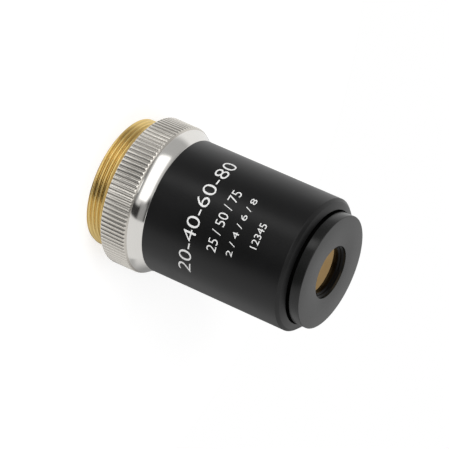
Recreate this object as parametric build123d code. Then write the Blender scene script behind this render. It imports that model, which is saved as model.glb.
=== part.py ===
from build123d import *
from dataclasses import dataclass
from math import copysign, cos, pi, sin, sqrt
import os

# A low-power, long-working-distance microscope objective. It stands on its thread, nose up.
# Its optical axis is the Z axis. Height 0 is the mounting shoulder that meets the nosepiece.
# Lengths are in millimetres, and a plain cylinder at the crests stands for each thread.

# Mount thread, its relief groove and the land beside the shoulder
thread_diameter = 20.32
thread_length = 3.75
thread_bevel = 0.2
relief_width = 0.47
relief_depth = 0.5
land_width = 0.27
land_drop = 0.16
thread_step = 0.78

# Walls, counted inwards or outwards from the barrel
barrel_wall = 1.31
tube_wall = 1.33
sleeve_wall = 1.15

# Clearances: radial in a slip fit, axial where a nut draws up, and in a cemented joint
slip_gap = 0.02
draw_gap = 0.15
cement = 0.02

# Knurled ring and the polished cone in front of it
ring_overhang = 1.25
knurl_height = 4.06
knurl_count = 100
knurl_depth = 0.22
knurl_crest_share = 0.42
knurl_root_share = 0.12
knurl_bevel = 0.12
shoulder_in = 0.31
shoulder_up = 0.51
shoulder_round = 0.05
cone_height = 2.07
cone_lip = 0.04
cone_hollow = 0.14

# Front edge of the outer sleeve
sleeve_bevel_out = 0.44
sleeve_bevel_up = 0.45
sleeve_cone_up = 0.445
sleeve_lip_height = 0.98
lip_gap = 0.13

# Nose cap and the groove behind it
nose_height = 1.63
nose_overhang = 0.88
nose_web = 0.375
nose_edge = 0.09
groove_width = 0.43
neck_height = 2.9
cap_thread_wall = 0.78

# Lens tube, its shim and its nut
flange_height = 2.42
shim_thickness = 0.25
port_depth = 5.78
nut_height = 1.4
nut_overhang = 0.7
ledge_height = 1.25
rear_thread_wall = 0.8

# Lens stack, from the rear to the nose
stack_recess = 1.72
lock_height = 0.94
rear_cell_lip = 0.24
spacer_height = 5.95
stop_thickness = 0.3
cell_b_lip = 0.62
cell_a_lip = 0.55

# Lens rims: wall left outside each lens, seat width under it, seat height above the cell's rear
front_wall = 2.33
cell_a_wall = 1.55
cell_b_wall = 1.23
rear_wall = 1.55
seat_width = 0.62
front_seat_height = 2.31
cell_a_seat_height = 1.56
cell_b_seat_height = 0.94
rear_seat_height = 0.86
cell_bevel = 0.2

# Lens faces: thickness at the rim, and how far each face rises from rim to middle
front_lens_edge = 1.33
front_lens_rise = 1.17
crown_a_edge = 0.94
crown_a_rear_rise = 0.94
joint_a_rise = 1.48
flint_a_edge = 2.03
flint_a_front_rise = 0.39
flint_b_edge = 2.42
joint_b_rise = 1.48
crown_b_edge = 1.33
crown_b_front_rise = 0.78
rear_crown_edge = 0.7
rear_crown_rise = 0.39
rear_joint_rise = 0.94
rear_flint_edge = 2.58
rear_flint_hollow = 0.7

# Retaining rings, and the stepped mouth in front of the front lens
retainer_height = 0.78
retainer_ledge = 0.55
retainer_thread = 0.2
mouth_ledge = 0.74
mouth_thread = 0.63
mouth_ring_height = 0.66
mouth_step_out = 0.27
mouth_step_up = 0.21
mouth_wall = 0.17
slot_width = 0.8
slot_depth = 0.47
mouth_slot_length = 0.55

# Stop, spacer and screws
stop_inset = 1.56
spacer_wall = 0.78
centring_screw_diameter = 1.2
centring_screw_count = 3
access_hole_diameter = 2.3
barrel_screw_diameter = 1.6
barrel_screw_count = 3
barrel_screw_below_shim = 2.3
screw_recess = 0.15

# Radii worked out from the thread
thread_r = thread_diameter / 2
land_r = thread_r - land_drop
relief_r = thread_r - relief_depth
barrel_r = thread_r - thread_step
barrel_bore_r = barrel_r - barrel_wall
tube_r = barrel_bore_r - slip_gap
tube_bore_r = tube_r - tube_wall
cell_r = tube_bore_r - slip_gap
rear_thread_r = tube_bore_r + rear_thread_wall
ledge_bore_r = rear_thread_r + slip_gap
nut_r = rear_thread_r + nut_overhang
port_r = nut_r + slip_gap
sleeve_bore_r = barrel_r + slip_gap
sleeve_r = sleeve_bore_r + sleeve_wall
knurl_r = sleeve_r + ring_overhang
cone_front_r = sleeve_r + cone_lip
neck_r = tube_r
nose_r = neck_r + nose_overhang
lip_r = nose_r + lip_gap
cap_thread_r = tube_bore_r + cap_thread_wall
front_lens_r = cell_r - front_wall
lens_a_r = cell_r - cell_a_wall
lens_b_r = cell_r - cell_b_wall
rear_lens_r = cell_r - rear_wall
stop_bore_r = rear_lens_r - stop_inset
mouth_r = front_lens_r - mouth_ledge
mouth_ring_r = front_lens_r + mouth_thread
opening_r = mouth_r + 2 * mouth_step_out


def sag(radius, rise, at_r):
    """How far a lens face has fallen from its middle at one radius."""
    if rise == 0.0:
        return 0.0
    curve = (radius ** 2 + rise ** 2) / (2 * rise)
    return curve - copysign(sqrt(curve ** 2 - at_r ** 2), curve)


def bearing(radius, rise, width):
    """How far past its rim a bulging face meets a seat of one width."""
    return max(0.0, rise - sag(radius, rise, radius - width))


# Heights of the cells: seat, lenses, retainer and the lip above it
rear_cell_height = rear_seat_height + rear_crown_edge + rear_flint_edge + retainer_height + rear_cell_lip
cell_b_bearing = bearing(lens_b_r, crown_b_front_rise, retainer_ledge)
cell_b_height = cell_b_seat_height + flint_b_edge + crown_b_edge + cell_b_bearing + retainer_height + cell_b_lip
cell_a_bearing = bearing(lens_a_r, flint_a_front_rise, retainer_ledge)
cell_a_height = cell_a_seat_height + crown_a_edge + flint_a_edge + cell_a_bearing + retainer_height + cell_a_lip
front_cell_height = front_seat_height + front_lens_edge + mouth_ring_height

# Heights worked out from the lens stack
cone_rear = knurl_height + shoulder_up
ring_top = cone_rear + cone_height
tube_rear = port_depth - thread_length
lock_rear = tube_rear + stack_recess
rear_cell_rear = lock_rear + lock_height
spacer_rear = rear_cell_rear + rear_cell_height
stop_rear = spacer_rear + spacer_height
cell_b_rear = stop_rear + stop_thickness
cell_a_rear = cell_b_rear + cell_b_height
front_cell_rear = cell_a_rear + cell_a_height
stack_front = front_cell_rear + front_cell_height
nose_front = stack_front + nose_web
nose_rear = nose_front - nose_height
sleeve_front = nose_rear - groove_width
flange_front = nose_rear - neck_height
flange_rear = flange_front - flange_height
barrel_front = flange_rear - shim_thickness
ledge_rear = tube_rear + nut_height
ledge_front = ledge_rear + ledge_height
tube_step = ledge_front + draw_gap
front_seat = front_cell_rear + front_seat_height
seat_a = cell_a_rear + cell_a_seat_height
seat_b = cell_b_rear + cell_b_seat_height
rear_seat = rear_cell_rear + rear_seat_height
centring_height = cell_b_rear + cell_b_height / 2
barrel_screw_height = barrel_front - barrel_screw_below_shim


def turned(*outline):
    """A solid of revolution about the optical axis, from an outline of radius and height."""
    return revolve(Plane.XZ * make_face(Polyline(*outline, close=True)), Axis.Z)


def tube(bore_r, outer_r, low, high, bevel=0.0):
    """A plain ring or tube, with an optional bevel on both outer edges."""
    corners = [(bore_r, low), (outer_r - bevel, low), (outer_r, low + bevel)]
    corners += [(outer_r, high - bevel), (outer_r - bevel, high), (bore_r, high)]
    if bevel == 0.0:
        corners = [(bore_r, low), (outer_r, low), (outer_r, high), (bore_r, high)]
    return turned(*corners)


def spanner_slots(length, floor, top):
    """A bar across the axis that cuts a pair of opposite spanner slots."""
    middle = (floor + top) / 2
    return Pos(0, 0, middle) * Box(length, slot_width, top - floor)


def radial_rods(radius, start_r, end_r, height, count):
    """Equally spaced rods that point at the optical axis."""
    rod = Pos(start_r, 0, height) * Rot(0, 90, 0) * extrude(Circle(radius), end_r - start_r)
    return [Rot(0, 0, 90 + 360 * i / count) * rod for i in range(count)]


def mount_barrel():
    """The brass barrel: mount thread, relief groove, land and the long tube that carries the rest."""
    bevelled_r = thread_r - thread_bevel
    relief_rear = -land_width - relief_width
    barrel = turned(
        (port_r, -thread_length),
        (bevelled_r, -thread_length),
        (thread_r, thread_bevel - thread_length),
        (thread_r, relief_rear),
        (relief_r, relief_rear),
        (relief_r, -land_width),
        (land_r, -land_width),
        (land_r, 0),
        (barrel_r, 0),
        (barrel_r, barrel_front),
        (barrel_bore_r, barrel_front),
        (barrel_bore_r, ledge_front),
        (ledge_bore_r, ledge_front),
        (ledge_bore_r, ledge_rear),
        (port_r, ledge_rear),
    )
    access = radial_rods(access_hole_diameter / 2, cell_r, thread_r, centring_height, centring_screw_count)
    screws = radial_rods(barrel_screw_diameter / 2, cell_r, thread_r, barrel_screw_height, barrel_screw_count)
    return barrel - access - screws


def knurl_outline():
    """The ring's cross-section: flat crests and narrow roots, joined by sloping flanks."""
    pitch = 2 * pi / knurl_count
    root_r = knurl_r - knurl_depth
    points = []
    for i in range(knurl_count):
        crest = i * pitch
        root = crest + pitch / 2
        for radius, middle, share in ((knurl_r, crest, knurl_crest_share), (root_r, root, knurl_root_share)):
            half = share * pitch / 2
            points += [(radius * cos(middle + s * half), radius * sin(middle + s * half)) for s in (-1, 1)]
    return make_face(Polyline(*points, close=True))


def knurled_ring():
    """The plated grip ring: straight knurling, a rounded shoulder and a polished, hollow cone."""
    front = (cone_front_r, ring_top)
    foot = (knurl_r - shoulder_in, cone_rear)
    top = (knurl_r, knurl_height)
    bulge = (knurl_r - shoulder_in / 2 + shoulder_round, (knurl_height + cone_rear) / 2 + shoulder_round)
    hollow = ((front[0] + foot[0]) / 2 - cone_hollow, (front[1] + foot[1]) / 2)
    edge = Polyline(front, (sleeve_bore_r, ring_top), (sleeve_bore_r, 0), (knurl_r - knurl_bevel, 0),
                    (knurl_r, knurl_bevel), top)
    curves = ThreePointArc(top, bulge, foot) + ThreePointArc(foot, hollow, front)
    ring = revolve(Plane.XZ * make_face(edge + curves), Axis.Z)
    return ring & extrude(knurl_outline(), ring_top)


def outer_sleeve():
    """The black sleeve that hides the barrel, with a bevelled front edge and a lip around the neck."""
    bevel_front = sleeve_front - sleeve_cone_up
    return turned(
        (sleeve_bore_r, ring_top),
        (sleeve_r, ring_top),
        (sleeve_r, bevel_front - sleeve_bevel_up),
        (sleeve_r - sleeve_bevel_out, bevel_front),
        (lip_r, sleeve_front),
        (lip_r, sleeve_front - sleeve_lip_height),
        (sleeve_bore_r, sleeve_front - sleeve_lip_height),
    )


def lens_tube():
    """The inner tube that holds the lens stack, with its flange, neck and two threaded ends."""
    inner = turned(
        (tube_bore_r, tube_rear),
        (rear_thread_r, tube_rear),
        (rear_thread_r, tube_step),
        (tube_r, tube_step),
        (tube_r, flange_rear),
        (barrel_r, flange_rear),
        (barrel_r, flange_front),
        (neck_r, flange_front),
        (neck_r, nose_rear),
        (cap_thread_r, nose_rear),
        (cap_thread_r, stack_front),
        (tube_bore_r, stack_front),
    )
    return inner - radial_rods(centring_screw_diameter / 2, cell_r, barrel_r, centring_height, centring_screw_count)


def parfocal_shim():
    """The thin washer under the tube's flange that sets the focus height."""
    return tube(barrel_bore_r, barrel_r, barrel_front, flange_rear)


def nose_cap():
    """The front cap: a threaded skirt and a thin web around the opening."""
    skirt_r = cap_thread_r + slip_gap
    return turned(
        (skirt_r, nose_rear),
        (nose_r - nose_edge, nose_rear),
        (nose_r, nose_rear + nose_edge),
        (nose_r, nose_front - nose_edge),
        (nose_r - nose_edge, nose_front),
        (opening_r, nose_front),
        (opening_r, stack_front),
        (skirt_r, stack_front),
    )


def tube_nut():
    """The ring nut that draws the lens tube down on its shim."""
    nut = tube(ledge_bore_r, nut_r, tube_rear, ledge_rear)
    return nut - spanner_slots(2 * port_r, tube_rear, tube_rear + slot_depth)


def stack_lock_ring():
    """The threaded ring behind the lens stack that holds it against the nose cap."""
    bore_r = rear_lens_r - seat_width / 2
    ring = tube(bore_r, cell_r, lock_rear, rear_cell_rear)
    return ring - spanner_slots(2 * tube_r, lock_rear, lock_rear + slot_depth)


def lens_cell(low, height, seat, lens_r, thread_floor, thread_r):
    """A lens cell: a bore for the lens, a seat under its rear rim and a thread for its retainer."""
    high = low + height
    return turned(
        (lens_r - seat_width, low),
        (cell_r - cell_bevel, low),
        (cell_r, low + cell_bevel),
        (cell_r, high - cell_bevel),
        (cell_r - cell_bevel, high),
        (thread_r + slip_gap, high),
        (thread_r + slip_gap, thread_floor),
        (lens_r + slip_gap, thread_floor),
        (lens_r + slip_gap, seat),
        (lens_r - seat_width, seat),
    )


def retainer(lens_r, low):
    """A slotted threaded ring that holds a lens in its cell."""
    ring = tube(lens_r - retainer_ledge, lens_r + retainer_thread, low, low + retainer_height)
    top = low + retainer_height
    return ring - spanner_slots(2 * cell_r, top - slot_depth, top)


def lens_face(radius, rim, rise):
    """Half the section of one lens face, from the axis to the rim."""
    if rise == 0.0:
        return Line((0, rim), (radius, rim))
    return TangentArc((0, rim + rise), (radius, rim), tangent=(1, 0))


def lens(radius, low, edge, rear_drop, front_rise):
    """A lens, from its rim: rear_drop and front_rise are the faces' bulges, negative where hollow."""
    rear = lens_face(radius, low, -rear_drop)
    front = lens_face(radius, low + edge, front_rise)
    rim = Line((radius, low), (radius, low + edge))
    axis = Line((0, low + edge + front_rise), (0, low - rear_drop))
    return revolve(Plane.XZ * make_face(rear + rim + front + axis), Axis.Z)


def front_retaining_ring():
    """The stepped black ring around the front lens, slotted where the cap hides it."""
    rim = front_seat + front_lens_edge
    ring = turned(
        (mouth_r, rim),
        (mouth_ring_r, rim),
        (mouth_ring_r, stack_front),
        (opening_r, stack_front),
        (opening_r - mouth_step_out, stack_front - mouth_step_up),
        (opening_r - mouth_step_out, stack_front - mouth_step_up - mouth_wall),
        (mouth_r, stack_front - 2 * mouth_step_up - mouth_wall),
    )
    reach = mouth_ring_r - mouth_slot_length / 2
    slot = Box(mouth_slot_length, slot_width, 2 * slot_depth)
    return ring - [Pos(side * reach, 0, stack_front) * slot for side in (-1, 1)]


@dataclass
class Doublet:
    """A cemented pair of lenses, given by its seat, its rims and its three faces."""

    radius: float
    seat: float
    rear_edge: float
    front_edge: float
    rear_drop: float
    joint_rise: float
    front_rise: float

    def rear_lens(self):
        """The lens that rests on the cell's seat."""
        return lens(self.radius, self.seat, self.rear_edge, self.rear_drop, self.joint_rise)

    def front_lens(self):
        """The lens in front of the cemented joint."""
        low = self.seat + self.rear_edge + cement
        return lens(self.radius, low, self.front_edge - cement, -self.joint_rise, self.front_rise)

    def seat_floor(self):
        """Height at which the cell's seat meets the rear face."""
        return self.seat - bearing(self.radius, self.rear_drop, seat_width)

    def retainer_floor(self):
        """Height at which the retainer meets the front face."""
        front_rim = self.seat + self.rear_edge + self.front_edge
        return front_rim + bearing(self.radius, self.front_rise, retainer_ledge)


doublet_a = Doublet(lens_a_r, seat_a, crown_a_edge, flint_a_edge, crown_a_rear_rise, joint_a_rise,
                    flint_a_front_rise)
doublet_b = Doublet(lens_b_r, seat_b, flint_b_edge, crown_b_edge, 0.0, -joint_b_rise, crown_b_front_rise)
rear_doublet = Doublet(rear_lens_r, rear_seat, rear_crown_edge, rear_flint_edge, rear_crown_rise,
                       rear_joint_rise, -rear_flint_hollow)


def doublet_cell(doublet, low, height):
    """The cell of a cemented pair."""
    thread = doublet.radius + retainer_thread
    return lens_cell(low, height, doublet.seat_floor(), doublet.radius, doublet.retainer_floor(), thread)


def front_cell():
    """The cell of the front lens."""
    rim = front_seat + front_lens_edge
    floor = front_seat - bearing(front_lens_r, front_lens_rise, seat_width)
    return lens_cell(front_cell_rear, front_cell_height, floor, front_lens_r, rim, mouth_ring_r)


def aperture_stop():
    """The thin blackened disc that limits the beam."""
    return tube(stop_bore_r, cell_r, stop_rear, cell_b_rear)


def centring_screws():
    """Headless screws through the tube's wall that centre one lens cell."""
    return Compound(radial_rods(centring_screw_diameter / 2 - slip_gap, cell_r + slip_gap, tube_r,
                                centring_height, centring_screw_count))


def barrel_screws():
    """Headless screws through the barrel's wall that lock the lens tube."""
    return Compound(radial_rods(barrel_screw_diameter / 2 - slip_gap, tube_r, barrel_r - screw_recess,
                                barrel_screw_height, barrel_screw_count))


nodes = {
    "mount_barrel": mount_barrel(),
    "knurled_ring": knurled_ring(),
    "outer_sleeve": outer_sleeve(),
    "lens_tube": lens_tube(),
    "parfocal_shim": parfocal_shim(),
    "tube_nut": tube_nut(),
    "nose_cap": nose_cap(),
    "front_retaining_ring": front_retaining_ring(),
    "front_cell": front_cell(),
    "front_lens": lens(front_lens_r, front_seat, front_lens_edge, front_lens_rise, 0.0),
    "cell_a": doublet_cell(doublet_a, cell_a_rear, cell_a_height),
    "retainer_a": retainer(lens_a_r, doublet_a.retainer_floor()),
    "doublet_a_crown": doublet_a.rear_lens(),
    "doublet_a_flint": doublet_a.front_lens(),
    "cell_b": doublet_cell(doublet_b, cell_b_rear, cell_b_height),
    "retainer_b": retainer(lens_b_r, doublet_b.retainer_floor()),
    "doublet_b_flint": doublet_b.rear_lens(),
    "doublet_b_crown": doublet_b.front_lens(),
    "aperture_stop": aperture_stop(),
    "rear_spacer": tube(cell_r - spacer_wall, cell_r, spacer_rear, stop_rear, cell_bevel),
    "rear_cell": doublet_cell(rear_doublet, rear_cell_rear, rear_cell_height),
    "rear_retainer": retainer(rear_lens_r, rear_doublet.retainer_floor()),
    "rear_crown": rear_doublet.rear_lens(),
    "rear_flint": rear_doublet.front_lens(),
    "stack_lock_ring": stack_lock_ring(),
    "centring_screws": centring_screws(),
    "barrel_screws": barrel_screws(),
}

os.makedirs("parts", exist_ok=True)
for name, solid in nodes.items():
    export_step(solid, f"parts/{name}.step")
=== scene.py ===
"""Looks of a microscope objective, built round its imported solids.

The optical axis is the Z axis, and height 0 is the mounting shoulder. The classes hold their sizes
in millimetres, and each mesh is scaled to metres when it is made.
"""

import sys
import logging
import math
from collections.abc import Mapping
from dataclasses import dataclass
from enum import Enum

import bmesh
import bpy
from mathutils import Matrix, Vector


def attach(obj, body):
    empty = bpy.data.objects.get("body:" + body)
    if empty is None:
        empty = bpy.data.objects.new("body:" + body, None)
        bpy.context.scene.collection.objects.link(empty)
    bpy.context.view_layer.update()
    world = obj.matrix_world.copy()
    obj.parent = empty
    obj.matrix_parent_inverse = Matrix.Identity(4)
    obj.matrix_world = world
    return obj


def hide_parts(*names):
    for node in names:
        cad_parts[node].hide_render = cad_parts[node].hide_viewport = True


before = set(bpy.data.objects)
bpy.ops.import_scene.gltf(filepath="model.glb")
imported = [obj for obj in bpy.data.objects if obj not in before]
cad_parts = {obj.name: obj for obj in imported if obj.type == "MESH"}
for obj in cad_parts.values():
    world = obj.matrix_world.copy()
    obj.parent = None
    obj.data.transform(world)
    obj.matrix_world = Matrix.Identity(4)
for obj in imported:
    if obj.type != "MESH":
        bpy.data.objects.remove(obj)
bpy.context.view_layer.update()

MM = 0.001
FULL_TURN = 2 * math.pi
BODY = "root"
TURNED_FACETS = 288
SHARP_ANGLE = math.radians(32)
ROUND_STEPS = 4
LONGEST_ROUND = 0.48
ON_AXIS = 1e-6

log = logging.getLogger("objective")

Point = tuple[float, float]
Spot = tuple[float, float, float]
Colour = tuple[float, float, float]


class Slot(Enum):
    """The record's material slots, one for each finish of the finer meshes."""

    BRASS = "brass"
    NICKEL = "nickel_plate"
    SLEEVE = "black_anodised"
    NOSE = "black_nose"
    CELL = "black_cell"
    COATED = "coated_glass"


# Meshes of turned pieces


def on_wall(radius: float, height: float, turn: float) -> Spot:
    """A point in metres, by its radius and height in millimetres and its turn round the axis."""
    return (radius * MM * math.cos(turn), radius * MM * math.sin(turn), height * MM)


def as_mesh(shape: bmesh.types.BMesh) -> bpy.types.Mesh:
    """Makes a mesh from a shape and frees the shape."""
    mesh = bpy.data.meshes.new("piece")
    shape.to_mesh(mesh)
    shape.free()
    return mesh


def as_closed_mesh(shape: bmesh.types.BMesh) -> bpy.types.Mesh:
    """Makes a mesh from a closed shape, with its faces outwards, and frees the shape."""
    bmesh.ops.recalc_face_normals(shape, faces=shape.faces)
    return as_mesh(shape)


def rounded(outline: list[tuple[float, float, float]]) -> list[Point]:
    """Rounds the corners of a section.

    Args:
        outline: Corners of a closed section as radius, height and corner radius.

    Returns:
        The section's points with a short curve in place of each corner that has a radius.
    """
    points: list[Point] = []
    for i, (radius, height, fillet) in enumerate(outline):
        if fillet == 0.0:
            points.append((radius, height))
            continue
        corner = Vector((radius, height))
        back = Vector(outline[i - 1][:2]) - corner
        on = Vector(outline[(i + 1) % len(outline)][:2]) - corner
        half = back.angle(on) / 2
        reach = min(fillet / math.tan(half), LONGEST_ROUND * back.length, LONGEST_ROUND * on.length)
        start = corner + back.normalized() * reach
        end = corner + on.normalized() * reach
        for k in range(ROUND_STEPS + 1):
            t = k / ROUND_STEPS
            spot = start * (1 - t) ** 2 + corner * 2 * t * (1 - t) + end * t ** 2
            points.append((spot.x, spot.y))
    return points


def spun(section: list[Point], facets: int = TURNED_FACETS) -> bpy.types.Mesh:
    """Spins a closed section round the optical axis.

    Args:
        section: Radius and height of each point, in millimetres.
        facets: Number of facets round the axis.

    Returns:
        A closed mesh in metres whose faces point outwards.
    """
    shape = bmesh.new()
    rings = []
    for radius, height in section:
        count = 1 if radius < ON_AXIS else facets
        turns = (FULL_TURN * k / facets for k in range(count))
        rings.append([shape.verts.new(on_wall(radius, height, turn)) for turn in turns])
    for i, ring in enumerate(rings):
        other = rings[(i + 1) % len(rings)]
        if len(ring) == 1 and len(other) == 1:
            continue
        for k in range(facets):
            n = (k + 1) % facets
            corners = [ring[k % len(ring)], ring[n % len(ring)]]
            corners += [other[n % len(other)], other[k % len(other)]]
            shape.faces.new(list(dict.fromkeys(corners)))
    return as_closed_mesh(shape)


def closed_shell(wall: bpy.types.Mesh, rear: list[Point], front: list[Point],
                 front_finish: int = 0) -> bpy.types.Mesh:
    """Closes an open wall round the axis into the shell of a whole piece.

    Args:
        wall: The open wall, with one rim at its rear and one at its front.
        rear: Radius and height of the rings that run on from the rear rim.
        front: The same for the front rim; the last rings of both are joined.
        front_finish: Number of the finish on what is built in front of the wall.

    Returns:
        The closed mesh, with finish 0 on the wall.
    """
    shape = bmesh.new()
    shape.from_mesh(wall)
    for face in shape.faces:
        face.material_index = 0
    heights = [vert.co.z for vert in shape.verts]
    middle = (min(heights) + max(heights)) / 2
    rims = [edge for edge in shape.edges if edge.is_boundary]
    lasts = []
    for in_front, section in ((False, rear), (True, front)):
        edges = [edge for edge in rims if (edge.verts[0].co.z > middle) == in_front]
        for radius, height in section:
            made = bmesh.ops.extrude_edge_only(shape, edges=edges)["geom"]
            edges = [part for part in made if isinstance(part, bmesh.types.BMEdge) and part.is_boundary]
            for face in (part for part in made if isinstance(part, bmesh.types.BMFace)):
                face.material_index = front_finish if in_front else 0
            for vert in {vert for edge in edges for vert in edge.verts}:
                outwards = Vector((vert.co.x, vert.co.y, 0.0)).normalized()
                vert.co = outwards * radius * MM + Vector((0.0, 0.0, height * MM))
        lasts += edges
    bmesh.ops.bridge_loops(shape, edges=lasts)
    return as_closed_mesh(shape)


def smooth(mesh: bpy.types.Mesh, angle: float = SHARP_ANGLE) -> None:
    """Shades a mesh smooth apart from its sharp edges.

    Args:
        mesh: The mesh to shade.
        angle: Edges that turn by more than this stay sharp.
    """
    mesh.shade_smooth()
    mesh.set_sharp_from_angle(angle=angle)


def baked(piece: bpy.types.Object) -> bpy.types.Mesh:
    """Turns a piece and its modifiers into a plain mesh and takes the modifiers off.

    Args:
        piece: The object to evaluate.

    Returns:
        The evaluated mesh.
    """
    bpy.context.view_layer.update()
    depsgraph = bpy.context.evaluated_depsgraph_get()
    mesh = bpy.data.meshes.new_from_object(piece.evaluated_get(depsgraph), depsgraph=depsgraph)
    piece.modifiers.clear()
    return mesh


def placed(name: str, mesh: bpy.types.Mesh, *materials: bpy.types.Material) -> bpy.types.Object:
    """Makes an object at the origin from a mesh that is already in place.

    Args:
        name: Name of the piece.
        mesh: Its mesh, in metres, with no materials yet.
        *materials: Its finishes, in the order that its faces number them.

    Returns:
        The new object, linked to the scene.
    """
    mesh.name = name
    for material in materials:
        mesh.materials.append(material)
    piece = bpy.data.objects.new(name, mesh)
    bpy.context.scene.collection.objects.link(piece)
    return piece


def seat(piece: bpy.types.Object, slot: Slot | None, *nodes: str) -> None:
    """Makes a piece part of the object and reports it.

    Args:
        piece: The finished piece.
        slot: The record's slot that its finish comes from, or None for a paint that no slot holds; not used.
        *nodes: The CAD nodes that it stands for.
    """
    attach(piece, BODY)
    if nodes:
        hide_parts(*nodes)
    log.info("%s: %d faces, for %s", piece.name, len(piece.data.polygons), ", ".join(nodes) or "no node")


# Node trees


class Tree:
    """Short calls for building one node tree."""

    def __init__(self, tree: bpy.types.NodeTree) -> None:
        """Starts on an existing tree."""
        self.tree = tree

    def node(self, kind: str, **settings: object) -> bpy.types.Node:
        """Adds a node.

        Args:
            kind: The node's type name.
            **settings: Properties to set on it.

        Returns:
            The new node.
        """
        made = self.tree.nodes.new(kind)
        for key, value in settings.items():
            setattr(made, key, value)
        return made

    def feed(self, socket: bpy.types.NodeSocket, value: object) -> None:
        """Links a socket to another one, or gives it a plain value.

        Args:
            socket: The input to fill.
            value: An output socket or a number, vector or colour.
        """
        if isinstance(value, bpy.types.NodeSocket):
            self.tree.links.new(value, socket)
        else:
            socket.default_value = value

    def math(self, operation: str, *values: object, clamp: bool = False) -> bpy.types.NodeSocket:
        """Adds a Math node and returns its result."""
        made = self.node("ShaderNodeMath", operation=operation, use_clamp=clamp)
        for socket, value in zip(made.inputs, values):
            self.feed(socket, value)
        return made.outputs[0]

    def scaled(self, vector: object, scale: float) -> bpy.types.NodeSocket:
        """Returns a vector times a number."""
        made = self.node("ShaderNodeVectorMath", operation="SCALE")
        self.feed(made.inputs[0], vector)
        made.inputs["Scale"].default_value = scale
        return made.outputs["Vector"]

    def split(self, vector: object) -> bpy.types.NodeOutputs:
        """Returns a vector's three parts."""
        made = self.node("ShaderNodeSeparateXYZ")
        self.feed(made.inputs[0], vector)
        return made.outputs

    def joined(self, *parts: object) -> bpy.types.NodeSocket:
        """Returns the vector of up to three parts."""
        made = self.node("ShaderNodeCombineXYZ")
        for socket, part in zip(made.inputs, parts):
            self.feed(socket, part)
        return made.outputs[0]

    def weighed(self, first: object, share: float, second: object) -> bpy.types.NodeSocket:
        """Returns a share of one value plus the rest of another."""
        rest = self.math("MULTIPLY", second, 1.0 - share)
        return self.math("ADD", self.math("MULTIPLY", first, share), rest)

    def ramp(self, value: object, low: object, high: object, to_low: object = 0.0,
             to_high: object = 1.0) -> bpy.types.NodeSocket:
        """Maps a value smoothly from one range to another.

        Args:
            value: The value to map.
            low: Where the result starts to change.
            high: Where it stops.
            to_low: The result below low.
            to_high: The result above high.

        Returns:
            The mapped value.
        """
        made = self.node("ShaderNodeMapRange", interpolation_type="SMOOTHSTEP")
        for socket, given in zip(made.inputs, (value, low, high, to_low, to_high)):
            self.feed(socket, given)
        return made.outputs["Result"]

    def noise(self, vector: object, scale: object, detail: float,
              dimensions: str = "3D") -> bpy.types.NodeSocket:
        """Adds a Noise Texture and returns its factor."""
        made = self.node("ShaderNodeTexNoise", noise_dimensions=dimensions)
        self.feed(made.inputs["Vector"], vector)
        self.feed(made.inputs["Scale"], scale)
        made.inputs["Detail"].default_value = detail
        return made.outputs["Fac"]

    def blend(self, factor: object, first: object, second: object) -> bpy.types.NodeSocket:
        """Mixes two colours and returns the result."""
        made = self.node("ShaderNodeMix", data_type="RGBA")
        self.feed(made.inputs["Factor"], factor)
        self.feed(made.inputs["A"], first)
        self.feed(made.inputs["B"], second)
        return made.outputs["Result"]


def shaded(colour: Colour, share: float = 1.0) -> tuple[float, float, float, float]:
    """A colour times a share, with full alpha, as a socket takes it."""
    return (*(share * part for part in colour), 1.0)


def shader_group(name: str, inputs: dict[str, str],
                 outputs: dict[str, str]) -> tuple[Tree, bpy.types.Node, bpy.types.Node]:
    """Starts a shader node group that works on a point's Vector.

    Args:
        name: The group's name.
        inputs: Socket kind of each input besides Vector, by name.
        outputs: Socket kind of each output, by name.

    Returns:
        The tree, its input node and its output node.
    """
    group = bpy.data.node_groups.new(name, "ShaderNodeTree")
    for in_out, sockets in (("INPUT", {"Vector": "Vector"} | inputs), ("OUTPUT", outputs)):
        for label, kind in sockets.items():
            group.interface.new_socket(label, in_out=in_out, socket_type="NodeSocket" + kind)
    tree = Tree(group)
    return tree, tree.node("NodeGroupInput"), tree.node("NodeGroupOutput")


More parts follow.
